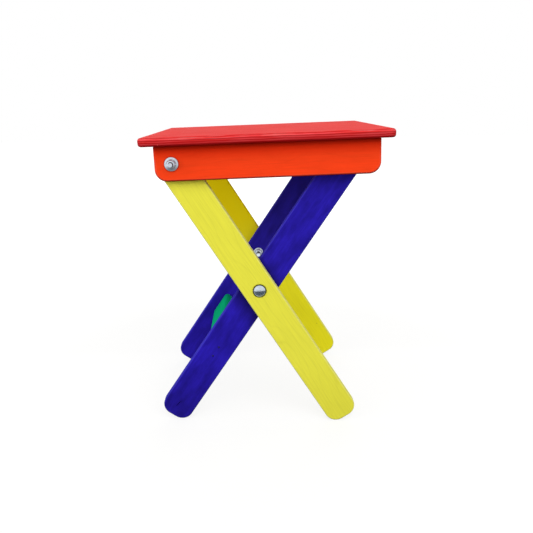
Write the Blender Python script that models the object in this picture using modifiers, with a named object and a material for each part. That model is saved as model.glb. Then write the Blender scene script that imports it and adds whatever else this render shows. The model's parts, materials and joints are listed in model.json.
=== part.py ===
"""A child's folding stool of painted plywood, built as the pieces it comes apart into.

A red seat board sits on two rails. The outer pair of legs hangs from the rails on bolts, and the inner
pair crosses it on bolts at the middle. A slat between the tops of the inner legs bears against a rebated
batten under the seat, which is what keeps the stool open. Metres, +Z up, standing on Z = 0.
X runs along the rails, and the front is at -Y.
"""

import math

import bmesh
import bpy
from mathutils import Matrix

# Fits: FIT is the gap left between pieces that touch or are let into each other.
FIT = 0.0003

# Legs, all of one stock. Leans are from the vertical.
LEG_WIDTH = 0.040
LEG_THICKNESS = 0.012
LEG_ROUND = 0.002
FOOT_CORNER = 0.015
OUTER_LEAN = 32.2
INNER_LEAN = 34.1
PIVOT_TO_TOP = 0.1845
OUTER_PIVOT_TO_FOOT = 0.204
OUTER_SPREAD = 0.228
LEG_GAP = 0.0016

# Seat board and its rails. The board rises by SEAT_TILT away from the hinge end.
SEAT_LENGTH = 0.288
SEAT_DEPTH = 0.286
SEAT_THICKNESS = 0.010
SEAT_ROUND = 0.0035
SEAT_CORNER = 0.006
SEAT_OVERHANG = 0.014
SEAT_TILT = 1.4
RAIL_LENGTH = 0.261
RAIL_HEIGHT = 0.041
RAIL_THICKNESS = 0.009
RAIL_ROUND = 0.0015
RAIL_CORNER = 0.014
RAIL_BOLT_IN = 0.020
RAIL_BOLT_UP = 0.0201
RAIL_GAP = 0.0005

# Slats between the inner legs.
STRETCHER_WIDTH = 0.040
STRETCHER_THICKNESS = 0.012
STRETCHER_ROUND = 0.0055
LOWER_STRETCHER_DOWN = 0.102

# Batten under the seat that catches the upper slat.
BATTEN_SIDE_GAP = 0.004
BATTEN_REST = 0.026
BATTEN_LIP = 0.018
BATTEN_LIP_DROP = 0.016
BATTEN_ROUND = 0.001

# Carriage bolts, washers and lock nuts, for a 6 mm thread.
BOLT_RADIUS = 0.003
BOLT_HOLE_RADIUS = 0.0033
HEAD_RADIUS = 0.008
HEAD_HEIGHT = 0.0036
NECK_SIDE = 0.0064
NECK_LENGTH = 0.004
BOLT_END_CHAMFER = 0.0006
PIVOT_BOLT_LENGTH = 0.045
RAIL_BOLT_LENGTH = 0.030
HEAD_RECESS_DEPTH = 0.0044
HEAD_RECESS_RADIUS = 0.0086
WASHER_THICKNESS = 0.0016
RAIL_WASHER_RADIUS = 0.008
PIVOT_WASHER_RADIUS = 0.007
NUT_ACROSS_FLATS = 0.010
NUT_HEX_HEIGHT = 0.0037
NUT_COLLAR_RADIUS = 0.0047
NUT_COLLAR_HEIGHT = 0.0023

# Brads through the inner legs into the slats.
BRAD_RADIUS = 0.0009
BRAD_LENGTH = 0.034
BRAD_HEAD_RADIUS = 0.0014
BRAD_HEAD_HEIGHT = 0.001
BRAD_SET = 0.0004
BRAD_SPACING = 0.014

# Dowels between rails and seat, and screws through the batten.
DOWEL_RADIUS = 0.003
DOWEL_IN_SEAT = 0.006
DOWEL_IN_RAIL = 0.018
DOWEL_CHAMFER = 0.0008
DOWEL_END_MARGIN = 0.055
DOWELS_PER_RAIL = 3
SCREW_RADIUS = 0.0018
SCREW_HEAD_RADIUS = 0.0038
SCREW_HEAD_HEIGHT = 0.0022
SCREW_IN_SEAT = 0.007
SCREW_TIP = 0.003
SCREW_END_MARGIN = 0.022
CATCH_SCREWS = 3

# Facets of round shapes.
TURN_STEPS = 24
SMALL_TURN_STEPS = 16
DOME_STEPS = 5
CORNER_STEPS = 8
EDGE_STEPS = 3
SMOOTH_ANGLE = 32.0
EDGE_ANGLE = 60.0
FLAT_ANGLE = 0.5
WELD = 1e-6

# Where each layer of the stack lies, as a distance from the middle plane.
OUTER_FACE = OUTER_SPREAD / 2
OUTER_INSIDE = OUTER_FACE - LEG_THICKNESS
INNER_FACE = OUTER_INSIDE - LEG_GAP
INNER_INSIDE = INNER_FACE - LEG_THICKNESS
RAIL_INSIDE = OUTER_FACE + RAIL_GAP
RAIL_FACE = RAIL_INSIDE + RAIL_THICKNESS
HEAD_SEAT = OUTER_INSIDE + HEAD_RECESS_DEPTH

# The board and the rails, seen from the rail bolt.
RAIL_TOP = RAIL_HEIGHT - RAIL_BOLT_UP
SEAT_UNDERSIDE = RAIL_TOP + FIT
SEAT_START = -RAIL_BOLT_IN - SEAT_OVERHANG
SEAT_END = SEAT_START + SEAT_LENGTH

LEAN_OUT = math.radians(OUTER_LEAN)
LEAN_IN = math.radians(INNER_LEAN)
TILT = math.radians(SEAT_TILT)


def reach(along, half_width, corner, angle):
    """How far a round-cornered end reaches along a direction at this angle from the leg's own line."""
    return (along - corner) * math.cos(angle) + (half_width - corner) * math.sin(angle) + corner


# The crossing's height stands the outer feet on the floor, and the inner feet reach down as far.
PIVOT_HEIGHT = reach(OUTER_PIVOT_TO_FOOT, LEG_WIDTH / 2, FOOT_CORNER, LEAN_OUT)
INNER_CORNER_DROP = (LEG_WIDTH / 2 - FOOT_CORNER) * math.sin(LEAN_IN) + FOOT_CORNER
INNER_PIVOT_TO_FOOT = (PIVOT_HEIGHT - INNER_CORNER_DROP) / math.cos(LEAN_IN) + FOOT_CORNER

# The board is the widest piece, so its middle is the origin's X.
BOARD_MIDDLE_ALONG = (SEAT_START + SEAT_END) / 2
BOARD_MIDDLE_UP = SEAT_UNDERSIDE + SEAT_THICKNESS / 2
RAIL_BOLT_X = BOARD_MIDDLE_UP * math.sin(TILT) - BOARD_MIDDLE_ALONG * math.cos(TILT)
PIVOT_X = RAIL_BOLT_X + PIVOT_TO_TOP * math.sin(LEAN_OUT)
RAIL_BOLT_Z = PIVOT_HEIGHT + PIVOT_TO_TOP * math.cos(LEAN_OUT)

# The upper slat's top edge as the seat sees it: how high it bears, and how far out it reaches.
OUTER_TO_SEAT = LEAN_OUT - TILT
INNER_TO_SEAT = LEAN_IN + TILT
PIVOT_DOWN = PIVOT_TO_TOP * math.cos(OUTER_TO_SEAT)
PIVOT_ALONG = PIVOT_TO_TOP * math.sin(OUTER_TO_SEAT)
SLAT_TOP = PIVOT_TO_TOP + STRETCHER_WIDTH / 2
SLAT_HALF = STRETCHER_THICKNESS / 2
SLAT_RISE = reach(SLAT_TOP, SLAT_HALF, STRETCHER_ROUND, INNER_TO_SEAT) - PIVOT_DOWN
SLAT_OUT = reach(SLAT_HALF, SLAT_TOP, STRETCHER_ROUND, INNER_TO_SEAT) + PIVOT_ALONG

SIDES = (("front", -1), ("back", 1))


def clear_scene():
    for obj in list(bpy.data.objects):
        bpy.data.objects.remove(obj, do_unlink=True)


def new_collection(name):
    made = bpy.data.collections.new(name)
    bpy.context.scene.collection.children.link(made)
    return made


def linear(channel):
    return channel / 12.92 if channel <= 0.04045 else ((channel + 0.055) / 1.055) ** 2.4


def paint(name, colour, roughness, metallic=0.0):
    """A Principled material from an sRGB hex colour."""
    made = bpy.data.materials.new(name)
    made.use_nodes = True
    shader = made.node_tree.nodes["Principled BSDF"]
    channels = [linear(int(colour[i : i + 2], 16) / 255) for i in (0, 2, 4)]
    shader.inputs["Base Color"].default_value = (*channels, 1.0)
    shader.inputs["Roughness"].default_value = roughness
    shader.inputs["Metallic"].default_value = metallic
    return made


def frame_empty(name, location, turn):
    """An empty on a joint's axis, turned about Y, that carries what moves with it."""
    made = bpy.data.objects.new(name, None)
    made.location = location
    made.rotation_euler = (0.0, turn, 0.0)
    parts.objects.link(made)
    return made


def add_part(name, mesh, parent, location, material, turn_x=0.0):
    made = bpy.data.objects.new(name, mesh)
    made.parent = parent
    made.location = location
    made.rotation_euler = (turn_x, 0.0, 0.0)
    mesh.materials.append(material)
    parts.objects.link(made)
    return made


def add_cutter(name, mesh, parent, location, turn_x=0.0):
    made = bpy.data.objects.new(name, mesh)
    made.parent = parent
    made.location = location
    made.rotation_euler = (turn_x, 0.0, 0.0)
    made.hide_render = True
    made.display_type = "WIRE"
    cutters.objects.link(made)
    return made


def use_boolean(obj, other, operation="DIFFERENCE"):
    modifier = obj.modifiers.new(f"{operation.lower()} {other.name}", "BOOLEAN")
    modifier.operation = operation
    modifier.object = other


def round_edges(obj, radius):
    modifier = obj.modifiers.new("round over", "BEVEL")
    modifier.width = radius
    modifier.segments = EDGE_STEPS
    modifier.limit_method = "ANGLE"
    modifier.angle_limit = math.radians(EDGE_ANGLE)


def arc(centre, radius, start, end):
    """Points of an arc in degrees, with CORNER_STEPS for a quarter turn."""
    steps = max(1, round(CORNER_STEPS * abs(end - start) / 90))
    angles = [math.radians(start + (end - start) * i / steps) for i in range(steps + 1)]
    return [(centre[0] + radius * math.cos(a), centre[1] + radius * math.sin(a)) for a in angles]


def round_rectangle(width, height, corner):
    across = width / 2 - corner
    up = height / 2 - corner
    return (
        arc((across, up), corner, 0, 90)
        + arc((-across, up), corner, 90, 180)
        + arc((-across, -up), corner, 180, 270)
        + arc((across, -up), corner, 270, 360)
    )


def plate_mesh(name, outline, thickness):
    """A flat outline as a filled 2D curve with thickness, made a mesh with whole flat caps."""
    curve = bpy.data.curves.new(name, "CURVE")
    curve.dimensions = "2D"
    curve.fill_mode = "BOTH"
    curve.extrude = thickness / 2
    spline = curve.splines.new("POLY")
    spline.points.add(len(outline) - 1)
    for point, (x, y) in zip(spline.points, outline):
        point.co = (x, y, 0.0, 1.0)
    spline.use_cyclic_u = True
    drawn = bpy.data.objects.new(name, curve)
    cutters.objects.link(drawn)
    bpy.context.view_layer.update()
    mesh = bpy.data.meshes.new_from_object(drawn.evaluated_get(bpy.context.evaluated_depsgraph_get()))
    bpy.data.objects.remove(drawn, do_unlink=True)
    work = bmesh.new()
    work.from_mesh(mesh)
    bmesh.ops.remove_doubles(work, verts=work.verts, dist=WELD)
    bmesh.ops.dissolve_limit(work, angle_limit=math.radians(FLAT_ANGLE), verts=work.verts, edges=work.edges)
    work.to_mesh(mesh)
    work.free()
    mesh.materials.clear()
    mesh.name = name
    return mesh


def upright_mesh(name, outline, thickness):
    """A plate whose outline stands in X and Z, with its thickness along Y."""
    mesh = plate_mesh(name, outline, thickness)
    mesh.transform(Matrix.Rotation(math.radians(90), 4, "X"))
    return mesh


def turned_object(obj, steps=SMALL_TURN_STEPS):
    """Turns an object's profile, drawn at +X from top to bottom, about its own Z."""
    modifier = obj.modifiers.new("turned", "SCREW")
    modifier.steps = steps
    modifier.render_steps = steps
    modifier.use_merge_vertices = True
    modifier.merge_threshold = WELD
    modifier.use_smooth_shade = True


def profile_mesh(name, points, closed=False):
    """A chain of edges through (radius, height) points."""
    work = bmesh.new()
    chain = [work.verts.new((radius, 0.0, height)) for radius, height in points]
    for first, second in zip(chain, chain[1:]):
        work.edges.new((first, second))
    if closed:
        work.edges.new((chain[-1], chain[0]))
    mesh = bpy.data.meshes.new(name)
    work.to_mesh(mesh)
    work.free()
    return mesh


def cylinder_mesh(name, radius, length, sides=TURN_STEPS):
    work = bmesh.new()
    bmesh.ops.create_cone(
        work, cap_ends=True, segments=sides, radius1=radius, radius2=radius, depth=length
    )
    mesh = bpy.data.meshes.new(name)
    work.to_mesh(mesh)
    work.free()
    return mesh


def box_mesh(name, across, length):
    work = bmesh.new()
    bmesh.ops.create_cube(work, size=1.0, matrix=Matrix.Diagonal((across, across, length, 1.0)))
    mesh = bpy.data.meshes.new(name)
    work.to_mesh(mesh)
    work.free()
    return mesh


def facing(side):
    """The turn about X that points an object's +Z to this side, +1 for +Y."""
    return -side * math.pi / 2


def bolt_profile(length):
    """A carriage bolt with its dome above Z = 0 and its shank below."""
    sphere = (HEAD_RADIUS**2 + HEAD_HEIGHT**2) / (2 * HEAD_HEIGHT)
    edge = math.asin(HEAD_RADIUS / sphere)
    angles = [edge * i / DOME_STEPS for i in range(DOME_STEPS)]
    dome = [(sphere * math.sin(a), sphere * (math.cos(a) - 1) + HEAD_HEIGHT) for a in angles]
    return dome + [
        (HEAD_RADIUS, 0.0),
        (BOLT_RADIUS, 0.0),
        (BOLT_RADIUS, BOLT_END_CHAMFER - length),
        (BOLT_RADIUS - BOLT_END_CHAMFER, -length),
        (0.0, -length),
    ]


def brad_profile(clear=0.0):
    """A brad with its head's top at Z = 0, or the hole for it."""
    return [
        (0.0, clear + (BRAD_SET if clear else 0.0)),
        (BRAD_HEAD_RADIUS + clear, clear + (BRAD_SET if clear else 0.0)),
        (BRAD_HEAD_RADIUS + clear, -BRAD_HEAD_HEIGHT - clear),
        (BRAD_RADIUS + clear, -BRAD_HEAD_HEIGHT - clear),
        (BRAD_RADIUS + clear, 2 * BRAD_RADIUS - BRAD_LENGTH),
        (0.0, -BRAD_LENGTH - clear),
    ]


def dowel_profile(clear=0.0):
    """A dowel whose Z = 0 is where rail and seat meet, or the hole for it."""
    top = DOWEL_IN_SEAT + clear
    bottom = -DOWEL_IN_RAIL - clear
    wide = DOWEL_RADIUS + clear
    return [
        (0.0, top),
        (wide - DOWEL_CHAMFER, top),
        (wide, top - DOWEL_CHAMFER),
        (wide, bottom + DOWEL_CHAMFER),
        (wide - DOWEL_CHAMFER, bottom),
        (0.0, bottom),
    ]


def screw_profile(length, clear=0.0):
    """A countersunk screw with its head's flat face at Z = 0, or the hole for it."""
    return [
        (0.0, clear),
        (SCREW_HEAD_RADIUS + clear, clear),
        (SCREW_RADIUS + clear, -SCREW_HEAD_HEIGHT),
        (SCREW_RADIUS + clear, SCREW_TIP - length),
        (0.0, -length - clear),
    ]


def leg_outline(foot):
    """A leg's outline about the crossing: round at the top, square with round corners at the foot."""
    half = LEG_WIDTH / 2
    across = half - FOOT_CORNER
    low = FOOT_CORNER - foot
    return (
        arc((0.0, PIVOT_TO_TOP), half, 0, 180)
        + arc((-across, low), FOOT_CORNER, 180, 270)
        + arc((across, low), FOOT_CORNER, 270, 360)
    )


def rail_outline():
    """A rail's outline about its bolt: square at the seat, round at both lower corners."""
    left = -RAIL_BOLT_IN
    right = left + RAIL_LENGTH
    low = -RAIL_BOLT_UP
    return (
        [(right, RAIL_TOP), (left, RAIL_TOP)]
        + arc((left + RAIL_CORNER, low + RAIL_CORNER), RAIL_CORNER, 180, 270)
        + arc((right - RAIL_CORNER, low + RAIL_CORNER), RAIL_CORNER, 270, 360)
    )


def batten_outline():
    """The catch batten's outline about the rail bolt: a rest above the slat and a lip outside it."""
    top = SEAT_UNDERSIDE - FIT
    rest = SLAT_RISE + FIT
    stop = SLAT_OUT + FIT
    return [
        (stop + BATTEN_LIP, top),
        (stop - BATTEN_REST, top),
        (stop - BATTEN_REST, rest),
        (stop, rest),
        (stop, rest - BATTEN_LIP_DROP),
        (stop + BATTEN_LIP, rest - BATTEN_LIP_DROP),
    ]


def spread(count, low, high):
    """Evenly spaced places from low to high."""
    return [low + (high - low) * i / (count - 1) for i in range(count)]


def make_outer_legs():
    """The outer legs, with their bolt holes, the pockets for the bolt necks and the recessed heads."""
    pivot_hole = add_cutter(
        "outer_pivot_hole", cylinder_mesh("outer_pivot_hole", BOLT_HOLE_RADIUS, 2 * OUTER_SPREAD),
        outer_frame, (0.0, 0.0, 0.0), math.pi / 2,
    )
    rail_hole = add_cutter(
        "outer_rail_hole", cylinder_mesh("outer_rail_hole", BOLT_HOLE_RADIUS, 2 * OUTER_SPREAD),
        outer_frame, (0.0, 0.0, PIVOT_TO_TOP), math.pi / 2,
    )
    neck_pocket = NECK_SIDE + 2 * FIT
    pocket_length = 2 * (NECK_LENGTH + FIT)
    for name, side in SIDES:
        leg = add_part(
            f"{name}_outer_leg", upright_mesh("outer_leg", leg_outline(OUTER_PIVOT_TO_FOOT), LEG_THICKNESS),
            outer_frame, (0.0, side * (OUTER_FACE - LEG_THICKNESS / 2), 0.0), yellow,
        )
        round_edges(leg, LEG_ROUND)
        recess = add_cutter(
            f"{name}_head_recess", cylinder_mesh("head_recess", HEAD_RECESS_RADIUS, 2 * HEAD_RECESS_DEPTH),
            outer_frame, (0.0, side * OUTER_INSIDE, PIVOT_TO_TOP), math.pi / 2,
        )
        pivot_neck = add_cutter(
            f"{name}_pivot_neck_pocket", box_mesh("neck_pocket", neck_pocket, pocket_length),
            outer_frame, (0.0, side * OUTER_FACE, 0.0), math.pi / 2,
        )
        rail_neck = add_cutter(
            f"{name}_rail_neck_pocket", box_mesh("neck_pocket", neck_pocket, pocket_length),
            outer_frame, (0.0, side * HEAD_SEAT, PIVOT_TO_TOP), math.pi / 2,
        )
        for cutter in (pivot_hole, rail_hole, recess, pivot_neck, rail_neck):
            use_boolean(leg, cutter)


def make_inner_legs():
    """The inner legs, the two slats between them and the brads that hold the slats."""
    pivot_hole = add_cutter(
        "inner_pivot_hole", cylinder_mesh("inner_pivot_hole", BOLT_HOLE_RADIUS, 2 * OUTER_SPREAD),
        inner_frame, (0.0, 0.0, 0.0), math.pi / 2,
    )
    legs = {}
    for name, side in SIDES:
        legs[name] = add_part(
            f"{name}_inner_leg", upright_mesh("inner_leg", leg_outline(INNER_PIVOT_TO_FOOT), LEG_THICKNESS),
            inner_frame, (0.0, side * (INNER_FACE - LEG_THICKNESS / 2), 0.0), blue,
        )
        round_edges(legs[name], LEG_ROUND)
        use_boolean(legs[name], pivot_hole)
    section = round_rectangle(STRETCHER_THICKNESS, STRETCHER_WIDTH, STRETCHER_ROUND)
    for place, height in (("lower", -LOWER_STRETCHER_DOWN), ("upper", PIVOT_TO_TOP)):
        slat = add_part(
            f"{place}_stretcher", upright_mesh("stretcher", section, 2 * (INNER_INSIDE - FIT)),
            inner_frame, (0.0, 0.0, height), green,
        )
        for name, side in SIDES:
            for number, step in enumerate(spread(2, BRAD_SPACING / 2, -BRAD_SPACING / 2), 1):
                where = (0.0, side * (INNER_FACE - BRAD_SET), height + step)
                brad_name = f"{name}_{place}_brad_{number}"
                brad = add_part(
                    brad_name, profile_mesh("brad", brad_profile()), inner_frame, where, wire, facing(side)
                )
                turned_object(brad)
                hole = add_cutter(
                    f"{brad_name}_hole", profile_mesh("brad_hole", brad_profile(FIT)),
                    inner_frame, where, facing(side),
                )
                turned_object(hole)
                use_boolean(legs[name], hole)
                use_boolean(slat, hole)


def make_seat():
    """The board, its rails and the dowels between them."""
    outline = round_rectangle(SEAT_LENGTH, SEAT_DEPTH, SEAT_CORNER)
    board = add_part(
        "seat_board", plate_mesh("seat_board", outline, SEAT_THICKNESS),
        seat_frame, (BOARD_MIDDLE_ALONG, 0.0, BOARD_MIDDLE_UP), red,
    )
    round_edges(board, SEAT_ROUND)
    bolt_hole = add_cutter(
        "rail_bolt_hole", cylinder_mesh("rail_bolt_hole", BOLT_HOLE_RADIUS, 2 * SEAT_DEPTH),
        seat_frame, (0.0, 0.0, 0.0), math.pi / 2,
    )
    first = DOWEL_END_MARGIN - RAIL_BOLT_IN
    last = RAIL_LENGTH - RAIL_BOLT_IN - DOWEL_END_MARGIN
    for name, side in SIDES:
        middle = side * (RAIL_INSIDE + RAIL_THICKNESS / 2)
        rail = add_part(
            f"{name}_rail", upright_mesh("rail", rail_outline(), RAIL_THICKNESS),
            seat_frame, (0.0, middle, 0.0), orange,
        )
        round_edges(rail, RAIL_ROUND)
        use_boolean(rail, bolt_hole)
        for number, along in enumerate(spread(DOWELS_PER_RAIL, first, last), 1):
            where = (along, middle, SEAT_UNDERSIDE)
            dowel_name = f"{name}_rail_dowel_{number}"
            dowel = add_part(dowel_name, profile_mesh("dowel", dowel_profile()), seat_frame, where, beech)
            turned_object(dowel)
            hole_mesh = profile_mesh("dowel_hole", dowel_profile(FIT))
            hole = add_cutter(f"{dowel_name}_hole", hole_mesh, seat_frame, where)
            turned_object(hole)
            use_boolean(rail, hole)
            use_boolean(board, hole)
    return board


def make_catch(board):
    """The rebated batten under the board, between the inner legs, and its screws."""
    length = 2 * (INNER_INSIDE - BATTEN_SIDE_GAP)
    batten = add_part(
        "catch_batten", upright_mesh("catch_batten", batten_outline(), length),
        seat_frame, (0.0, 0.0, 0.0), orange,
    )
    round_edges(batten, BATTEN_ROUND)
    rest = SLAT_RISE + FIT
    along = SLAT_OUT + FIT - BATTEN_REST / 2
    head = rest + FIT
    screw_length = SEAT_UNDERSIDE - head + SCREW_IN_SEAT
    reach_out = length / 2 - SCREW_END_MARGIN
    for number, across in enumerate(spread(CATCH_SCREWS, -reach_out, reach_out), 1):
        where = (along, across, head)
        name = f"catch_screw_{number}"
        screw = add_part(
            name, profile_mesh("catch_screw", screw_profile(screw_length)), seat_frame, where, steel, math.pi
        )
        turned_object(screw)
        hole = add_cutter(
            f"{name}_hole", profile_mesh("screw_hole", screw_profile(screw_length, 2 * FIT)),
            seat_frame, where, math.pi,
        )
        turned_object(hole)
        use_boolean(batten, hole)
        use_boolean(board, hole)


def make_bolt(name, length, place, side, seat_at):
    """A carriage bolt whose head bears at this distance from the middle plane and faces this side."""
    bolt = add_part(
        name, profile_mesh("carriage_bolt", bolt_profile(length)), outer_frame, (0.0, seat_at, place), steel,
        facing(side),
    )
    turned_object(bolt, TURN_STEPS)
    overlap = HEAD_HEIGHT / 4
    neck = add_cutter(
        f"{name}_neck", box_mesh("bolt_neck", NECK_SIDE, NECK_LENGTH + overlap),
        outer_frame, (0.0, seat_at - side * (NECK_LENGTH - overlap) / 2, place), facing(side),
    )
    use_boolean(bolt, neck, "UNION")


def make_washer(name, radius, thickness, place, side, start):
    """A flat washer that starts at this distance from the middle plane and lies to this side of it."""
    ring = [
        (radius, thickness),
        (radius, 0.0),
        (BOLT_HOLE_RADIUS, 0.0),
        (BOLT_HOLE_RADIUS, thickness),
    ]
    washer = add_part(
        name, profile_mesh("washer", ring, closed=True), outer_frame, (0.0, start, place), steel, facing(side)
    )
    turned_object(washer, TURN_STEPS)


def make_nut(name, place, side, start):
    """A lock nut: a hexagon from this distance outwards, with a round collar on top."""
    hexagon = cylinder_mesh("lock_nut", NUT_ACROSS_FLATS / math.sqrt(3), NUT_HEX_HEIGHT, 6)
    nut = add_part(
        name, hexagon, outer_frame, (0.0, start + side * NUT_HEX_HEIGHT / 2, place), steel, facing(side)
    )
    collar_sunk = NUT_HEX_HEIGHT / 2
    collar = add_cutter(
        f"{name}_collar", cylinder_mesh("nut_collar", NUT_COLLAR_RADIUS, NUT_COLLAR_HEIGHT + collar_sunk),
        outer_frame, (0.0, start + side * (NUT_HEX_HEIGHT + (NUT_COLLAR_HEIGHT - collar_sunk) / 2), place),
        facing(side),
    )
    thread = add_cutter(
        f"{name}_thread", cylinder_mesh("nut_thread", BOLT_HOLE_RADIUS, 4 * NUT_ACROSS_FLATS),
        outer_frame, (0.0, start, place), facing(side),
    )
    use_boolean(nut, collar, "UNION")
    use_boolean(nut, thread)


def make_fastenings():
    """The bolts, washers and nuts of the crossing and of the rails, on both sides."""
    spacer = LEG_GAP - 2 * FIT
    for name, side in SIDES:
        make_bolt(f"{name}_pivot_bolt", PIVOT_BOLT_LENGTH, 0.0, side, side * (OUTER_FACE + FIT))
        make_washer(f"{name}_pivot_spacer", PIVOT_WASHER_RADIUS, spacer, 0.0, side, side * (INNER_FACE + FIT))
        washer_at = INNER_INSIDE - FIT
        nut_at = washer_at - WASHER_THICKNESS - FIT
        make_washer(
            f"{name}_pivot_washer", PIVOT_WASHER_RADIUS, WASHER_THICKNESS, 0.0, -side, side * washer_at
        )
        make_nut(f"{name}_pivot_nut", 0.0, -side, side * nut_at)

        make_bolt(f"{name}_rail_bolt", RAIL_BOLT_LENGTH, PIVOT_TO_TOP, -side, side * (HEAD_SEAT - FIT))
        washer_at = RAIL_FACE + FIT
        nut_at = washer_at + WASHER_THICKNESS + FIT
        make_washer(
            f"{name}_rail_washer", RAIL_WASHER_RADIUS, WASHER_THICKNESS, PIVOT_TO_TOP, side, side * washer_at
        )
        make_nut(f"{name}_rail_nut", PIVOT_TO_TOP, side, side * nut_at)


def shade():
    """Smooth shading on every piece, with its real edges kept sharp."""
    for obj in parts.objects:
        if obj.type == "MESH":
            obj.data.shade_smooth()
            obj.data.set_sharp_from_angle(angle=math.radians(SMOOTH_ANGLE))


clear_scene()
parts = new_collection("folding_stool")
cutters = new_collection("folding_stool_cutters")
red = paint("red stain", "E9453F", 0.5)
orange = paint("orange stain", "F0441C", 0.5)
yellow = paint("yellow stain", "DED83F", 0.5)
blue = paint("blue stain", "271B94", 0.5)
green = paint("green stain", "00965F", 0.5)
beech = paint("bare beech", "D8B98A", 0.7)
steel = paint("zinc plated steel", "B9BEC4", 0.3, 1.0)
wire = paint("stained wire", "16103C", 0.6)

# Each frame stands on a joint's axis: the crossing carries the legs and the rail bolt carries the seat.
outer_frame = frame_empty("outer_leg_frame", (PIVOT_X, 0.0, PIVOT_HEIGHT), -LEAN_OUT)
inner_frame = frame_empty("inner_leg_frame", (PIVOT_X, 0.0, PIVOT_HEIGHT), LEAN_IN)
seat_frame = frame_empty("seat_frame", (RAIL_BOLT_X, 0.0, RAIL_BOLT_Z), -TILT)

make_outer_legs()
make_inner_legs()
make_catch(make_seat())
make_fastenings()
shade()
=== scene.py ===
"""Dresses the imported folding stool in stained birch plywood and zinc-plated hardware, in a plain studio.

Laid out as a Blender add-on and run as a script. Metres, +Z up, with the front at -Y. Each board has its
own frame, along the grain, across it and through the board, and the mesh keeps those places as its grain.
"""

import json
import math
from functools import partial
from itertools import product

import bmesh
import bpy
from bpy.props import FloatProperty, FloatVectorProperty, PointerProperty
from mathutils import Matrix, Vector, noise

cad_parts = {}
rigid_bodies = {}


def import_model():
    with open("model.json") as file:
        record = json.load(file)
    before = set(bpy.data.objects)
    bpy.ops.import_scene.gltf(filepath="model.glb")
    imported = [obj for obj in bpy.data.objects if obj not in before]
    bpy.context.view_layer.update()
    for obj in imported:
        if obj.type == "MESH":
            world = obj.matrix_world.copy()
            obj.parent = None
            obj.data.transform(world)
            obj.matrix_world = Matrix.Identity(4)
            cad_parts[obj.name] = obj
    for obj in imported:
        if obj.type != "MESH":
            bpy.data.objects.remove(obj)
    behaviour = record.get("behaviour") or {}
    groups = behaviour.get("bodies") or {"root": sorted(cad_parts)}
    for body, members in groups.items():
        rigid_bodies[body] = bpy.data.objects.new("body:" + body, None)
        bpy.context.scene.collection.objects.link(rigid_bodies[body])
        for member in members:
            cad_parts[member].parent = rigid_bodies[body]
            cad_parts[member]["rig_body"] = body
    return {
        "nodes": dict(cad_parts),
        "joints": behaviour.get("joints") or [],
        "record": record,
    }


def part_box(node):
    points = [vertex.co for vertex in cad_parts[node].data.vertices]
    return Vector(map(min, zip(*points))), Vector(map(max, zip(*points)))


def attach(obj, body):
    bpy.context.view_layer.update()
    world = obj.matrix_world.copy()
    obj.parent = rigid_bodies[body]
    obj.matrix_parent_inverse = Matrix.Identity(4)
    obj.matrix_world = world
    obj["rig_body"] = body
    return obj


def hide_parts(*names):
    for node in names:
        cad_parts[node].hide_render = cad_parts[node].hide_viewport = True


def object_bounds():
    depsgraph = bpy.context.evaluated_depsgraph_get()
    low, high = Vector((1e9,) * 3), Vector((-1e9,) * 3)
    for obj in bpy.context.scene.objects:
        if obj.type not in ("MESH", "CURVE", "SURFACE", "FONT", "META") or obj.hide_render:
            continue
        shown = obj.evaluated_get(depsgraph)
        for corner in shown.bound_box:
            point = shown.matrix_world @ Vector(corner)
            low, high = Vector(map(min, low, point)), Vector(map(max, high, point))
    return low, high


bl_info = {
    "name": "Folding Stool",
    "version": (1, 0, 0),
    "blender": (4, 5, 0),
    "location": "View3D > Sidebar > Stool",
    "description": "Dresses the packed folding stool and sets its studio",
    "category": "Object",
}

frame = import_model()
CAD_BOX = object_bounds()

# Where the joints are, and how the boards lie about them.
JOINTS = {joint["name"]: joint for joint in frame["joints"]}
HINGE = Vector(JOINTS["seat_hinge"]["pos_m"])
CROSSING = Vector(JOINTS["leg_pivot"]["pos_m"])
UP_OUTER_LEG = HINGE - CROSSING
OUTER_LEAN = math.atan2(-UP_OUTER_LEG.x, UP_OUTER_LEG.z)
INNER_LEAN = math.radians(JOINTS["leg_pivot"]["range_deg"][1]) - OUTER_LEAN
SIDES = (("front", -1), ("back", 1))
UP = Vector((0.0, 0.0, 1.0))
SIDEWAYS = Vector((0.0, 1.0, 0.0))
SEAT_UP = Vector(frame["record"]["mounts"][0]["axis"]).normalized()
SEAT_ALONG = SIDEWAYS.cross(SEAT_UP)

# How finely curves are drawn.
OUTLINE_SPACING = 0.006
CORNER_STEPS = 14
EDGE_STEPS = 7
CORNER_ROOM = 0.96
PLY_ROW = 0.0005
TURN_STEPS = 60
DOME_STEPS = 14
THREAD_ROWS = 6
HOLE_STEPS = 32
RECESS_ROWS = 12
SHARP_ANGLE = math.radians(38)

# Sanding by hand leaves a round edge a little uneven, over about this length.
SANDING_WAVE = 0.035
SANDING_UNEVENNESS = 0.14

# It also thins the stain in a band along each edge, from this share where the round starts. The paler band
# is partly a painted highlight, for the light that a rounded edge catches.
SANDED_BAND = 0.0004
SANDED_SHARE = 0.35

# Painted shade: the lower half of a lying board's edges takes this share of what an underside takes, as if
# light fell from above.
EDGE_SHADE_SAG = 0.8

# The grain starts this far along a board, one way in front and the other way behind, so that no two boards of
# a pair show the same lines.
RAIL_GRAIN = 0.3
LEG_GRAIN = 0.4

# Patterns in the stained wood, in millimetres along the grain, across it and through the board. Fibres are
# really about 0.1 mm wide, which would not show, so these streaks are 1.6 mm wide.
FIBRE = (60.0, 1.6, 1.1)
CLOUD = (38.0, 13.0, 13.0)
WANDER = (130.0, 34.0, 34.0)
RUB = (44.0, 44.0, 0.6)
GROWTH_LINE = 7.0
NIB_SPACING = 28.0
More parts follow.
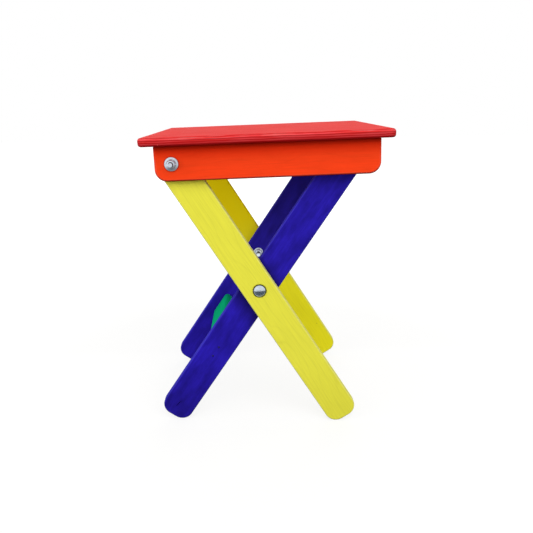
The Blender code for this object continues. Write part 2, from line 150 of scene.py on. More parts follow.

# Where the bands of painted shade lie, and the painted warm bounce light on the back outer leg: the places
# where each starts and where it is full. On a rail they count down from its upper edge, and on a leg up from
# the crossing. The painted shadow at the crossing lies along the outer leg's edges, so its places count
# across that leg.
RAIL_SHADE = (0.018, 0.002)
RAIL_CONTACT_SHADE = (0.0066, 0.0012)
FOOT_SHADE = (-0.093, -0.158)
BOUNCE_LIGHT_TOP = (0.0, 0.05)
DARK_TOP = (-0.05, 0.14)
SHADOW_BELOW = (-0.044, -0.023)
SHADOW_ABOVE = (0.025, 0.020)

# Where rubbing has thinned the seat's stain and a highlight is painted along the upper arris, in millimetres
# up through the board.
RUBBED_HIGHLIT_EDGE = (6.0, 8.5)

# The studio: the floor, the softboxes, and the cards that only metal mirrors.
FLOOR_HALF = 6.0
FLOOR_DROP = 0.0002
SOFTBOXES = {
    "key": (0.45, -1.7, 1.8),
    "left": (-2.0, -1.3, 0.8),
    "right": (0.9, -2.2, 0.95),
    "back": (0.3, 2.4, 0.9),
}
SOFTBOX_WIDTH = 2.4
SOFTBOX_HEIGHT = 1.5
SOFTBOX_AIM = Vector((0.0, 0.0, 0.2))
FLOOR_CARD_CORNERS = ((-0.6, 2.6), (1.0, 2.6), (1.0, 0.125), (-0.6, 0.125))
FLOOR_CARD_LIFT = 0.0005
FLOOR_CARD_DARKENING = (0.15, 0.5)
FLOOR_CARD_FADING = (0.6, 2.6)
WHITE_CARD_GLOW = 1.25
SENSOR_WIDTH = 36.0

# Each white card's place, the way that it faces, and half its width and height. One is high on the left in
# front, and a small one is between the legs.
WHITE_CARDS = (
    (Vector((-0.79, -1.23, 0.81)), Vector((0.78, 1.11, -0.63)), 0.5, 0.35),
    (Vector((CROSSING.x, -0.02, CROSSING.z)), SIDEWAYS, 0.06, 0.08),
)

MM = 0.001
SAME_PLACE = 0.000001
WHITE = (1.0, 1.0, 1.0, 1.0)
CORNERS = ((-1, -1), (1, -1), (1, 1), (-1, 1))


def linear(colour):
    """An sRGB hex colour as linear channels."""
    channels = [int(colour[i : i + 2], 16) / 255 for i in (0, 2, 4)]
    return tuple(c / 12.92 if c <= 0.04045 else ((c + 0.055) / 1.055) ** 2.4 for c in channels)


def length(name, description, default):
    return FloatProperty(
        name=name, description=description, default=default, precision=5, unit="LENGTH", subtype="DISTANCE"
    )


def rotation(name, description, degrees):
    return FloatProperty(
        name=name, description=description, default=math.radians(degrees), unit="ROTATION", subtype="ANGLE"
    )


def power(name, description, default):
    return FloatProperty(name=name, description=description, default=default, min=0.0, unit="POWER")


def colour(name, description, default):
    return FloatVectorProperty(
        name=name, description=description, default=linear(default), size=3, min=0.0, max=1.0, subtype="COLOR"
    )


class StoolBoards(bpy.types.PropertyGroup):
    """Sizes of the boards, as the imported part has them."""

    leg_width: length("Leg width", "Width of every leg", 0.040)
    leg_round: length("Leg edge", "Round of a leg's long edges", 0.0013)
    foot_corner: length("Foot corner", "Radius of a foot's two corners", 0.015)
    seat_length: length("Seat length", "Length of the seat along its rails", 0.288)
    seat_thickness: length("Seat thickness", "Thickness of the seat board", 0.010)
    seat_round: length("Seat edge", "Round of the seat's edges", 0.0035)
    seat_corner: length("Seat corner", "Radius of the seat's corners, seen from above", 0.006)
    seat_overhang: length("Seat overhang", "How far the seat stands out past a rail's end", 0.014)
    rail_length: length("Rail length", "Length of a rail", 0.261)
    rail_height: length("Rail height", "Height of a rail", 0.041)
    rail_round: length("Rail edge", "Round of a rail's edges", 0.0024)
    rail_corner: length("Rail corner", "Radius of a rail's lower corners", 0.014)
    rail_square_corner: length("Rail top corner", "Radius of a rail's upper corners", 0.002)
    rail_bolt_in: length("Bolt from end", "From a rail's end to its bolt", 0.020)
    rail_bolt_up: length("Bolt from edge", "From a rail's lower edge to its bolt", 0.0201)
    seat_gap: length("Seat gap", "Gap between a rail and the seat board", 0.0003)
    slat_width: length("Slat width", "Width of a slat", 0.040)
    slat_thickness: length("Slat thickness", "Thickness of a slat", 0.012)
    slat_round: length("Slat edge", "Round of a slat's long edges", 0.0055)
    slat_end_round: length("Slat end", "Round of a slat's ends", 0.0004)
    lower_slat_down: length("Lower slat", "From the crossing down the leg to the lower slat", 0.102)
    seat_ply: length("Seat ply", "Thickness of one ply of the seat", 0.0025)
    leg_ply: length("Leg ply", "Thickness of one ply of a leg or rail", 0.00133)
    ply_relief: length("Ply relief", "How far sanding sinks each softer ply on an edge", 0.00008)
    split_up: length("Split place", "From the front inner foot's end to the middle of its fine split", 0.018)
    split_aside: length("Split aside", "From the leg's middle line to that split", 0.002)
    split_length: length("Split length", "Length of that split", 0.0148)
    split_width: length("Split width", "Width of that split at its middle", 0.0011)
    split_depth: length("Split depth", "Depth of that split", 0.0025)
    split_turn: rotation("Split turn", "How far that split turns from the line of the leg", 13.8)


class StoolHardware(bpy.types.PropertyGroup):
    """Sizes of the bolts, nuts, washers, brads and screws."""

    bolt_radius: length("Bolt radius", "Radius of a bolt's shank", 0.003)
    bolt_hole: length("Bolt hole", "Radius of a bolt hole", 0.0033)
    head_radius: length("Head radius", "Radius of a domed bolt head", 0.008)
    head_height: length("Head height", "Height of a domed bolt head", 0.0036)
    head_rim: length("Head rim", "Height and width of the rim round the dome", 0.0009)
    head_recess: length("Head recess", "Radius of the recess for a rail bolt's head", 0.0086)
    head_recess_depth: length("Recess depth", "Depth of that recess", 0.0044)
    thread_pitch: length("Thread pitch", "Distance between two turns of the thread", 0.001)
    thread_depth: length("Thread depth", "Depth of the thread", 0.0006)
    thread_length: length("Thread length", "Length of the threaded end", 0.022)
    bolt_chamfer: length("Bolt end", "Chamfer of a bolt's end", 0.0006)
    nut_flats: length("Nut across flats", "Width of a nut across its flats", 0.010)
    nut_hex_height: length("Nut height", "Height of a nut's hexagon", 0.0037)
    nut_collar: length("Nut collar", "Radius of the collar that holds the locking ring", 0.0047)
    washer_round: length("Washer edge", "Round of a stamped washer's edge", 0.0003)
    washer_crown: length("Washer crown", "How far a washer's rim lies below the nut's seat", 0.0004)
    press_margin: length("Pressed rim", "How far a pressed dent reaches round a head or washer", 0.0008)
    press_depth: length("Pressed depth", "How deep a head or washer has pressed into the wood", 0.0014)
    brad_head: length("Brad head", "Radius of a brad's head", 0.0014)
    brad_hole: length("Brad hole", "Radius of the hole that a brad's head sinks into", 0.0015)
    brad_hole_depth: length("Brad hole depth", "Depth of that hole", 0.0009)
    brad_shank: length("Brad shank", "Radius of a brad's shank", 0.0009)
    brad_spacing: length("Brad spacing", "Distance between the two brads of a joint", 0.014)
    screw_head: length("Screw head", "Radius of a countersunk head", 0.0038)
    screw_head_height: length("Screw head height", "Height of a countersunk head", 0.0022)
    screw_shank: length("Screw shank", "Radius of a screw's thread", 0.0018)
    screw_tip: length("Screw tip", "Length of a screw's point", 0.003)
    screw_recess: length("Screw recess", "Reach of each arm of a screw's cross recess", 0.0022)
    screw_recess_width: length("Screw recess width", "Half the width of an arm of that recess", 0.0008)
    screw_recess_depth: length("Screw recess depth", "Depth of that recess at its middle", 0.0012)


class StoolColours(bpy.types.PropertyGroup):
    """Colours of the stains and of the bare materials, with the painted shade, highlight and bounce light
    that some of them stand for.
    """

    red: colour("Seat", "Stain of the seat board", "E62620")
    # The edge colours are sanded, thinner stain, and also a painted highlight on rounded edges.
    red_edge: colour("Seat edges", "Where sanding thins that stain", "EC5A60")
    # The deep colours darken the ply seams, and also paint shade on edges that face down and in the bands.
    red_deep: colour("Deep seat", "Where that stain gathers", "9A0004")
    # The rubbed colour is a worn arris and also a painted highlight along the seat's upper edge.
    rubbed: colour("Rubbed arris", "Where handling has rubbed the seat's edge almost bare", "F2B4AE")
    orange: colour("Rails", "Stain of the rails and the batten", "F74217")
    orange_edge: colour("Rail edges", "Where sanding thins that stain", "FA6450")
    orange_deep: colour("Deep rails", "Where that stain gathers", "700C00")
    # Painted shade on the rails under the seat's overhang.
    orange_painted_shade: colour("Upper rails", "Where that stain lies thicker, towards the seat", "F02A04")
    yellow: colour("Outer legs", "Stain of the outer legs", "E6E146")
    yellow_edge: colour("Outer leg edges", "Where sanding thins that stain", "E7E482")
    yellow_deep: colour("Deep outer legs", "Where that stain gathers", "989010")
    # A more saturated copy of the outer legs' stain, painted to look as the back leg does in shade.
    rich_yellow: colour("Back outer leg", "Stain of the back outer leg, which took more", "F8EE24")
    # Painted warm bounce light from the seat and rails, on the upper back outer leg.
    bounce_light_yellow: colour("Upper back outer leg", "Where that leg took the most stain", "FFE800")
    blue: colour("Inner legs", "Stain of the inner legs", "2A1CAF")
    blue_edge: colour("Inner leg edges", "Where sanding thins that stain", "4642C4")
    blue_deep: colour("Deep inner legs", "Where that stain gathers", "100838")
    green: colour("Slats", "Stain of the slats", "00A870")
    green_edge: colour("Slat edges", "Where sanding thins that stain", "14B07C")
    green_deep: colour("Deep slats", "Where that stain gathers", "005C3A")
    zinc: colour("Hardware", "Bright zinc plate", "CFDAE5")
    # Dirt, and painted shade in the crevices round a head, a nut and the threads.
    seam_dirt_and_shade: colour("Seam dirt", "Wax and dust round the edge of a head or a nut", "2C2C28")
    beech: colour("Dowels", "Bare beech", "D8B98A")
    brad: colour("Brads", "Brad heads, darkened by the stain over them", "1E1270")
    floor: colour("Floor", "Matt studio paper", "7B7B79")


class StoolStudio(bpy.types.PropertyGroup):
    """The camera and the light."""

    camera_from_crossing: FloatVectorProperty(
        name="Camera", description="Place of the camera, from the middle of the crossing",
        default=(-0.00277, -0.83838, 0.22425), size=3, precision=5, unit="LENGTH", subtype="TRANSLATION",
    )
    camera_turn: rotation("Turn", "How far the camera turns to the right of +Y", 0.92)
    camera_dip: rotation("Dip", "How far the camera looks down", 14.96)
    camera_roll: rotation("Roll", "How far the picture leans", 0.8)
    camera_lens: FloatProperty(
        name="Lens", description="Focal length on a 36 mm sensor", default=41.805, unit="CAMERA"
    )
    sky_light: FloatProperty(
        name="Sky light", description="Light from the white surroundings", default=0.6, min=0.0
    )
    key_power: power("Key", "Power of the softbox above and in front", 26.0)
    left_power: power("Left fill", "Power of the low softbox on the left", 26.0)
    right_power: power("Right fill", "Power of the low softbox on the right", 11.0)
    back_power: power("Back fill", "Power of the low softbox behind", 30.0)


# Making pieces.


def board_frame(origin, along, across):
    """The matrix of a board's own frame: along the grain, across it and through the board."""
    turn = Matrix((along, across, along.cross(across))).transposed()
    return Matrix.Translation(origin) @ turn.to_4x4()


def leg_frame(lean):
    """About the crossing, up a leg that leans this far towards +X, with its thickness along +Y."""
    along = Vector((math.sin(lean), 0.0, math.cos(lean)))
    return board_frame(CROSSING, along, SIDEWAYS.cross(along))


# A rail's own width runs down from the hinge.
OUTER_LEG_FRAME = leg_frame(-OUTER_LEAN)
INNER_LEG_FRAME = leg_frame(INNER_LEAN)
RAIL_FRAME = board_frame(HINGE, SEAT_ALONG, SIDEWAYS.cross(SEAT_ALONG))
SEAT_FRAME = board_frame(HINGE, SEAT_ALONG, SIDEWAYS)

HOLE_TURNS = [2 * math.pi * i / HOLE_STEPS for i in range(HOLE_STEPS)]
CIRCLE = [Vector((math.cos(t), math.sin(t))) for t in HOLE_TURNS]


def rounded_outline(low, high, radii):
    """(point, outward normal, room to inset) round a rectangle, anticlockwise from its high corner, with a
    radius for each of the corners in that order."""
    arcs = []
    for quarter, radius in enumerate(radii):
        x = high[0] - radius if quarter in (0, 3) else low[0] + radius
        y = high[1] - radius if quarter in (0, 1) else low[1] + radius
        for i in range(CORNER_STEPS + 1):
            angle = math.pi / 2 * (quarter + i / CORNER_STEPS)
            normal = Vector((math.cos(angle), math.sin(angle)))
            arcs.append((Vector((x, y)) + radius * normal, normal, radius * CORNER_ROOM))
    outline = []
    for (point, normal, room), (following, _, _) in zip(arcs, arcs[1:] + arcs[:1]):
        run = following - point
        if run.length < SAME_PLACE:
            continue
        steps = max(1, math.ceil(run.length / OUTLINE_SPACING))
        outline.append((point, normal, room))
        outline += [(point + run * i / steps, normal, math.inf) for i in range(1, steps)]
    return outline


def edge_rows(low, high, radius, ply=0.0, relief=0.0):
    """(inset, sunk, place through the board, edge) of each row from the low face round the edge to the high
    one. Edge is 0 on the faces and 1 on the side, and every second ply there is sunk by the relief."""
    turns = [math.pi / 2 * i / EDGE_STEPS for i in range(EDGE_STEPS + 1)]
    bend = [(radius * (1 - math.sin(t)), radius * (1 - math.cos(t))) for t in turns]
    side = high - low - 2 * radius
    between = max(1, math.ceil(side / PLY_ROW)) if ply else 1
    places = [(inset, low + rise) for inset, rise in bend]
    places += [(0.0, low + radius + side * i / between) for i in range(1, between)]
    places += [(inset, high - rise) for inset, rise in reversed(bend)]
    rows = [(radius + SANDED_BAND, 0.0, low, 0.0)]
    for inset, place in places:
        edge = 1 - (1 - SANDED_SHARE) * inset / radius
        sunk = relief * (1 - inset / radius) if ply and int((place - low) / ply) % 2 else 0.0
        rows.append((inset, sunk, place, edge))
    rows.append((radius + SANDED_BAND, 0.0, high, 0.0))
    return rows


def hole_rings(centre, stations, shape=CIRCLE):
    """The rings of a hole of a shape: (size, place through the board) from one face inwards."""
    x, y = centre
    return [[Vector((x + size * p.x, y + size * p.y, place)) for p in shape] for size, place in stations]


def bolt_hole_rings(hardware, plain_face, pressed_face, radius):
    """The rings of a bolt hole, from a plain face to one that a head or washer has pressed into."""
    hole = hardware.bolt_hole
    rim = radius + hardware.press_margin
    bottom = pressed_face + math.copysign(hardware.press_depth, plain_face - pressed_face)
    return hole_rings((0.0, 0.0), [(hole, plain_face), (hole, bottom), (rim, bottom), (rim, pressed_face)])


def join_rings(work, rings):
    """Quads from each ring of vertices to the next."""
    for ring, following in zip(rings, rings[1:]):
        for i in range(len(ring)):
            work.faces.new((ring[i - 1], ring[i], following[i], following[i - 1]))


def close_face(work, loops):
    """Fills the first loop, round any others inside it."""
    if len(loops) == 1:
        work.faces.new(loops[0])
        return
    edges = [work.edges.get((loop[i - 1], loop[i])) for loop in loops for i in range(len(loop))]
    bmesh.ops.triangle_fill(work, use_beauty=True, use_dissolve=False, edges=edges)


def finished_mesh(name, work, place):
    """The mesh of a worked shape, moved to its place."""
    bmesh.ops.recalc_face_normals(work, faces=work.faces)
    mesh = bpy.data.meshes.new(name)
    work.to_mesh(mesh)
    work.free()
    mesh.transform(place)
    return mesh


def board_mesh(name, outline, rows, place, holes=(), grain_axes=(0, 1, 2), grain_from=(0.0, 0.0, 0.0)):
    """A board with rounded edges and holes. Its vertices keep their place in the grain, in millimetres, how
    far round the edge they are, and how far that edge faces down."""
    work = bmesh.new()
    grain = work.verts.layers.float_vector.new("grain")
    edge = work.verts.layers.float.new("edge")
    underside = work.verts.layers.float.new("underside")
    down = -place.to_3x3().row[2]

    def add_vertex(point, edge_share=0.0, facing_down=0.0):
        vertex = work.verts.new(point)
        vertex[grain] = [(point[axis] - start) / MM for axis, start in zip(grain_axes, grain_from)]
        vertex[edge] = edge_share
        # How far an edge faces down; the finish paints shade there by this.
        vertex[underside] = edge_share * max(0.0, facing_down)
        return vertex

    low, high = rows[0][2], rows[-1][2]
    unevenness = []
    for point, _, _ in outline:
        wave = noise.noise(Vector((point.x, point.y, low)) / SANDING_WAVE)
        unevenness.append(1 + SANDING_UNEVENNESS * wave)
    rings = []
    for inset, sunk, through, edge_share in rows:
        tilt = min(1.0, (1 - edge_share) / (1 - SANDED_SHARE))
        upwards = tilt if through > (low + high) / 2 else -tilt
        lowness = (through - low) / (high - low) if down.z > 0 else (high - through) / (high - low)
        # The lower half of a lying board's edge takes painted shade too.
        shade_sag = EDGE_SHADE_SAG * lowness * abs(down.z)
        ring = []
        for (point, normal, room), uneven in zip(outline, unevenness):
            moved = point - normal * min(room, inset * uneven + sunk)
            outwards = (*(normal * math.sqrt(1 - tilt**2)), upwards)
            ring.append(add_vertex((moved.x, moved.y, through), edge_share, down.dot(outwards) + shade_sag))
        rings.append(ring)
    join_rings(work, rings)

    caps = {low: [rings[0]], high: [rings[-1]]}
    for hole in holes:
        hole_verts = [[add_vertex(point) for point in ring] for ring in hole]
        join_rings(work, hole_verts)
        for ring, points in ((hole_verts[0], hole[0]), (hole_verts[-1], hole[-1])):
            face = next((cap for cap in caps if abs(cap - points[0].z) < SAME_PLACE), None)
            if face is None:
                work.faces.new(ring)
            else:
                caps[face].append(ring)
    for loops in caps.values():
        close_face(work, loops)
    return finished_mesh(name, work, place)


def turned_mesh(name, profile, place, shape=None, ring=False):
    """Turns (radius, height) rows about the place's own Z. A row may also say how dark its dirt and painted
    shade are, from 0 to 1. Shape may change a radius and height by the angle, and a ring's last row joins its
    first."""
    work = bmesh.new()
    soil = work.verts.layers.float.new("soil")
    rows = []
    for radius, height, *soiled_and_shaded in profile:
        row = []
        for i in range(TURN_STEPS if radius else 1):
            angle = 2 * math.pi * i / TURN_STEPS
            r, h = shape(radius, height, angle) if shape else (radius, height)
            vertex = work.verts.new((r * math.cos(angle), r * math.sin(angle), h))
            vertex[soil] = soiled_and_shaded[0] if soiled_and_shaded else 0.0
            row.append(vertex)
        rows.append(row)
    for row, following in zip(rows, rows[1:] + (rows[:1] if ring else [])):
        for i in range(TURN_STEPS):
            corners = [row[i - 1], row[i]] if len(row) > 1 else row[:1]
            corners += [following[i], following[i - 1]] if len(following) > 1 else following[:1]
            work.faces.new(corners)
    return finished_mesh(name, work, place)


def facing(origin, direction):
    """The matrix that puts Z = 0 at the origin and points +Z in a direction."""
    return Matrix.Translation(origin) @ direction.to_track_quat("Z", "Y").to_matrix().to_4x4()


def standing(node, side):
    """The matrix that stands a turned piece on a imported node's end and points it to a side, and that node's
    length and radius."""
    low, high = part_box(node)
    base = (low + high) / 2
    base.y = low.y if side > 0 else high.y
    return facing(base, SIDEWAYS * side), high.y - low.y, (high.x - low.x) / 2


def board_faces(node, side):
    """Where a packed board's inner and outer face lie along Y."""
    low, high = (corner.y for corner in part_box(node))
    return (high, low) if side < 0 else (low, high)


def add_piece(mesh, material, node):
    """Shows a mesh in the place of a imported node, on that node's body."""
    mesh.materials.append(material)
    mesh.shade_smooth()
    mesh.set_sharp_from_angle(angle=SHARP_ANGLE)
    piece = bpy.data.objects.new(mesh.name, mesh)
    bpy.context.scene.collection.objects.link(piece)
    normals = piece.modifiers.new("flat faces stay flat", "WEIGHTED_NORMAL")
    normals.keep_sharp = True
    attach(piece, frame["nodes"][node]["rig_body"])
    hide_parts(node)


def add_board(node, outline, edge_round, place, holes, grain_start, finish):
    """Makes a plywood board from one of its node's faces to the other."""
    boards = bpy.context.scene.stool_boards
    low, high = (corner.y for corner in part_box(node))
    rows = edge_rows(low, high, edge_round, boards.leg_ply, boards.ply_relief)
    mesh = board_mesh(f"{node}_ply", outline, rows, place, holes, grain_from=(grain_start, 0.0, low))
    add_piece(mesh, finish, node)


# Finishes.


def set_inputs(node, values):
    """Sets a node's inputs and properties, and links each input whose value is another node's output."""
    for key, value in values.items():
        if isinstance(value, bpy.types.NodeSocket):
            node.id_data.links.new(value, node.inputs[key])
        elif isinstance(key, int) or key in node.inputs:
            node.inputs[key].default_value = value
        else:
            setattr(node, key, value)


def add_node(tree, kind, values=None, output=0):
    """Adds a shader node with its settings and links, and returns one of its outputs, if it has any."""
    node = tree.nodes.new(f"ShaderNode{kind}")
    set_inputs(node, values or {})
    return node.outputs[output] if node.outputs else None


def new_finish(name):
    """A new material, a function that adds a node to it, and its Principled shader."""
    made = bpy.data.materials.new(name)
    made.use_nodes = True
    return made, partial(add_node, made.node_tree), made.node_tree.nodes["Principled BSDF"]


def shade(base, share=1.0):
    """A colour with its alpha, darkened to a share of itself."""
    return (*[c * share for c in base], 1.0)


def drawn_noise(add, place, size, detail=2.0, roughness=0.5):
    """Noise drawn out to a size along each axis, in the unit of the place."""
    drawn = add("VectorMath", {"operation": "DIVIDE", 0: place, 1: size})
    return add("TexNoise", {"Scale": 1.0, "Detail": detail, "Roughness": roughness, "Vector": drawn})


def mottled(add, base, share, size):
    """Clouds of a size in metres, and a colour that they darken to a share of itself."""
    clouds = drawn_noise(add, add("TexCoord", output="Object"), size)
    return clouds, add("Mix", {"data_type": "RGBA", 0: clouds, 6: shade(base), 7: shade(base, share)}, 2)


def stained_birch(
    scene, name, tint, speck, clouding, streaking, underside_shade, figure=0.2, plies=0.3, wax=0.04,
    thinning_and_highlight=(0.3, 0.8), soaking=0.9, own_stain=None, ply=None, bands=(), rubbed=False, crosswise=False,
):
    """Birch plywood, sanded, wiped with a coloured stain and waxed. The grain is the mesh's own, or crosswise
    the stool's, along Y. A band is (origin, ramps, share, colour), and a ramp is (direction, none, full):
    the places along that direction where the band has faded out and where it has its whole share."""
    # The eye gets an almost even, matt colour with faint streaks along the board, cloudy patches where the
    # stain went in deeper, thin wavy growth lines, and paler sanded edges on which the plies show as lines.
    # The paler edges also carry a painted highlight, and the finish paints shade on edges that face down and
    # in bands.
    finish = bpy.data.materials.get(name)
    if finish:
        return finish
    finish, add, shader = new_finish(name)
    colours = scene.stool_colours
    stain = getattr(colours, own_stain or tint)
    deep_stain_and_shade = shade(getattr(colours, f"{tint}_deep"))
    if crosswise:
        x, y, z = add("SeparateXYZ", {0: add("TexCoord", output="Object")}).node.outputs
        turned = add("CombineXYZ", {0: y, 1: x, 2: z})
        grain = add("VectorMath", {"operation": "SCALE", 0: turned, "Scale": 1 / MM})
    else:
        grain = add("Attribute", {"attribute_name": "grain"}, "Vector")
    edge = add("Attribute", {"attribute_name": "edge"}, "Fac")
    underside = add("Attribute", {"attribute_name": "underside"}, "Fac")
    _, across, through = add("SeparateXYZ", {0: grain}).node.outputs
    fibre = drawn_noise(add, grain, FIBRE, 3.0, 0.6)
    cloud = drawn_noise(add, grain, CLOUD, 4.0, 0.6)
    wander = drawn_noise(add, grain, WANDER, 1.0, 0.6)
    cloudy = add("MapRange", {"Value": cloud, "From Min": 0.38, "From Max": 0.70, "To Max": clouding})
    streaky = add("MapRange", {"Value": fibre, "From Min": 0.40, "From Max": 0.72, "To Max": streaking})

    # Growth lines wander across the board and fade in places.
    lines = add("Math", {"operation": "DIVIDE", 0: across, 1: GROWTH_LINE})
    phase = add("Math", {"operation": "MULTIPLY_ADD", 0: wander, 1: 6.0, 2: lines})
    beat = add("Math", {"operation": "PINGPONG", 0: phase, 1: 0.5})
    crest = add("MapRange", {"Value": beat, "From Max": 0.14, "To Min": figure, "To Max": 0.0})
    line = add("Math", {"operation": "MULTIPLY", 0: crest, 1: cloud})

    # Sanding thins the stain on the edges, and the end-grain plies between the others drink more of it. The
    # paler edge colour is also a painted highlight, for the light that rounded edges catch.
    thin, thick = thinning_and_highlight
    thinned = add(
        "MapRange", {"Value": fibre, "From Min": 0.42, "From Max": 0.60, "To Min": thin, "To Max": thick}
    )
    thin_and_highlit_edge = add("Math", {"operation": "MULTIPLY", 0: thinned, 1: edge})
    layer = add("Math", {"operation": "DIVIDE", 0: through, 1: (ply or scene.stool_boards.leg_ply) / MM})
    wavering = add("Math", {"operation": "MULTIPLY_ADD", 0: cloud, 1: 0.8, 2: layer})
    glue = add("Math", {"operation": "PINGPONG", 0: wavering, 1: 0.5})
    seam = add("MapRange", {"Value": glue, "From Max": 0.3, "To Min": plies, "To Max": 0.0})
    seam_on_edge = add("Math", {"operation": "MULTIPLY", 0: seam, 1: edge})

    # Painted shade on the edges that face down, as if light fell from above.
    painted_underside_shade = add("MapRange", {"Value": underside, "From Max": 0.8, "To Max": underside_shade})

    # Each layer is its share and its colour, over the ones before it.
    layers = [
        (cloudy, shade(stain, 0.4)),
        (streaky, shade(stain, 0.6)),
        (line, shade(stain, 0.5)),
        (edge, shade(stain, soaking)),
        (thin_and_highlit_edge, shade(getattr(colours, f"{tint}_edge"))),
        (seam_on_edge, deep_stain_and_shade),
        (painted_underside_shade, deep_stain_and_shade),
    ]

    # Handling rubs thin streaks of the upper edges almost bare, and the pale streaks also paint a highlight
    # along the upper arris.
    if rubbed:
        low, high = RUBBED_HIGHLIT_EDGE
        streaks = drawn_noise(add, grain, RUB, 3.0, 0.6)
        worn = add("MapRange", {"Value": streaks, "From Min": 0.54, "From Max": 0.66, "To Max": 0.4})
        upper = add("MapRange", {"Value": through, "From Min": low, "From Max": high})
        handled = add("Math", {"operation": "MULTIPLY", 0: upper, 1: edge})
        rub_and_highlight = add("Math", {"operation": "MULTIPLY", 0: worn, 1: handled})
        layers.append((rub_and_highlight, shade(colours.rubbed)))

    # Bands of painted shade: in the corner under the seat, towards a foot, round the crossing and at a leg's
    # top;
    # and on the back outer leg a band of painted warm bounce light.
    for origin, ramps, strength, tone in bands:
        place = add("TexCoord", output="Object")
        away = add("VectorMath", {"operation": "SUBTRACT", 0: place, 1: origin})
        for direction, none, full in ramps:
            distance = add("VectorMath", {"operation": "DOT_PRODUCT", 0: away, 1: direction}, "Value")
            ramp = add("MapRange", {"Value": distance, "From Min": none, "From Max": full})
            strength = add("Math", {"operation": "MULTIPLY", 0: ramp, 1: strength})
        layers.append((strength, shade(tone)))

    # Here and there is a pore or a nib under 1 mm across.
    spots = add("VectorMath", {"operation": "DIVIDE", 0: grain, 1: (NIB_SPACING,) * 3})
    spot = add("TexVoronoi", {"Scale": 1.0, "Vector": spots}, "Distance")
    nib = add("MapRange", {"Value": spot, "From Min": 0.015, "From Max": 0.032, "To Min": 0.7, "To Max": 0.0})
    layers.append((nib, shade(linear(speck))))

    coat = shade(stain)
    for share, tone in layers:
        coat = add("Mix", {"data_type": "RGBA", 0: share, 6: coat, 7: tone}, 2)

    # Sanded edges have almost no sheen.
    sheen = add(
        "MapRange", {"Value": fibre, "From Min": 0.3, "From Max": 0.7, "To Min": 0.46, "To Max": 0.62}
    )
    dull = add("Mix", {0: edge, 2: sheen, 3: 0.95})
    relief = add("Math", {"operation": "MULTIPLY_ADD", 0: line, 1: -0.6, 2: fibre})
    bump = add("Bump", {"Strength": 0.3, "Distance": 0.00012, "Height": relief})
    coated = {"Base Color": coat, "Roughness": dull, "Normal": bump, "IOR": 1.5, "Specular IOR Level": wax}
    set_inputs(shader, coated)
    return finish


def red_ply(scene):
    return stained_birch(
        scene, "red_stained_birch_ply", "red", speck="EE6660", clouding=0.12, streaking=0.35, underside_shade=0.8,
        figure=0.3, plies=1.0, wax=0.035, thinning_and_highlight=(0.15, 0.8), soaking=0.85,
        ply=scene.stool_boards.seat_ply, rubbed=True,
    )


def orange_ply(scene):
    """The rails' finish, with painted shade in the corner under the seat."""
    boards = scene.stool_boards
    colours = scene.stool_colours
    down = RAIL_FRAME.col[1].xyz
    upper_edge = HINGE + down * (boards.rail_bolt_up - boards.rail_height)
    # Painted shade under the seat's overhang: a wide band of redder stain and a narrow dark one along the
    # rail's upper edge.
    bands = (
        (upper_edge, [(down, *RAIL_SHADE)], 0.9, colours.orange_painted_shade),
        (upper_edge, [(down, *RAIL_CONTACT_SHADE)], 0.7, colours.orange_deep),
    )
    return stained_birch(
        scene, "orange_stained_birch_ply", "orange", speck="C02008", clouding=0.12, streaking=0.14,
        underside_shade=0.95, figure=0.14, plies=0.35, thinning_and_highlight=(0.35, 0.8), soaking=0.85, bands=bands,
    )


def orange_batten(scene):
    return stained_birch(
        scene, "orange_stained_birch_batten", "orange", speck="C02008", clouding=0.2, streaking=0.3,
        underside_shade=0.0, plies=0.0, thinning_and_highlight=(0.1, 0.5), soaking=0.55, crosswise=True,
    )


def yellow_ply(scene, rich):
    """The outer legs' finish. The back leg's is a more saturated stain, painted to look as that leg does in
    shade, with painted warm bounce light above the crossing; the front leg's has painted shade towards its
    foot."""
    colours = scene.stool_colours
    # Painted shade towards the front leg's foot, and painted warm bounce light above the back leg's crossing.
    foot = (CROSSING, [(UP, *FOOT_SHADE)], 0.08, colours.yellow_deep)
    top = (CROSSING, [(UP, *BOUNCE_LIGHT_TOP)], 1.0, colours.bounce_light_yellow)
    return stained_birch(
        scene, "rich_yellow_stained_birch_ply" if rich else "yellow_stained_birch_ply", "yellow",
        speck="8A7A10", clouding=0.05, streaking=0.22, underside_shade=0.85, wax=0.05, thinning_and_highlight=(0.7, 1.0),
        own_stain="rich_yellow" if rich else None, bands=(top,) if rich else (foot,),
    )


def blue_ply(scene, scuffed):
    """The inner legs' finish. The front leg's has painted shade towards its foot and a painted shadow of the
    outer leg round the crossing, on its outer face; the back leg's has painted shade towards its top."""
    deep = scene.stool_colours.blue_deep
    across = OUTER_LEG_FRAME.col[1].xyz
    inside, outside = board_faces("front_inner_leg", -1)
    outer_face = (SIDEWAYS, inside, (inside + outside) / 2)
    # Painted shade towards the front foot, a painted shadow of the outer leg round the crossing on the outer
    # face, and painted shade towards the back leg's top.
    foot = (CROSSING, [(UP, *FOOT_SHADE)], 0.3, deep)
    crossing_shadow = (CROSSING, [(across, *SHADOW_BELOW), (across, *SHADOW_ABOVE), outer_face], 0.58, deep)
    top = (CROSSING, [(UP, *DARK_TOP)], 0.5, deep)
    return stained_birch(
        scene, "scuffed_blue_stained_birch_ply" if scuffed else "blue_stained_birch_ply", "blue",
        speck="9A98D8", clouding=0.85, streaking=0.5, underside_shade=0.75, figure=0.3, wax=0.06,
        bands=(foot, crossing_shadow) if scuffed else (top,),
    )


def green_birch(scene):
    return stained_birch(
        scene, "green_stained_birch", "green", speck="006040", clouding=0.2, streaking=0.2, underside_shade=0.3,
        plies=0.0, wax=0.0,
    )


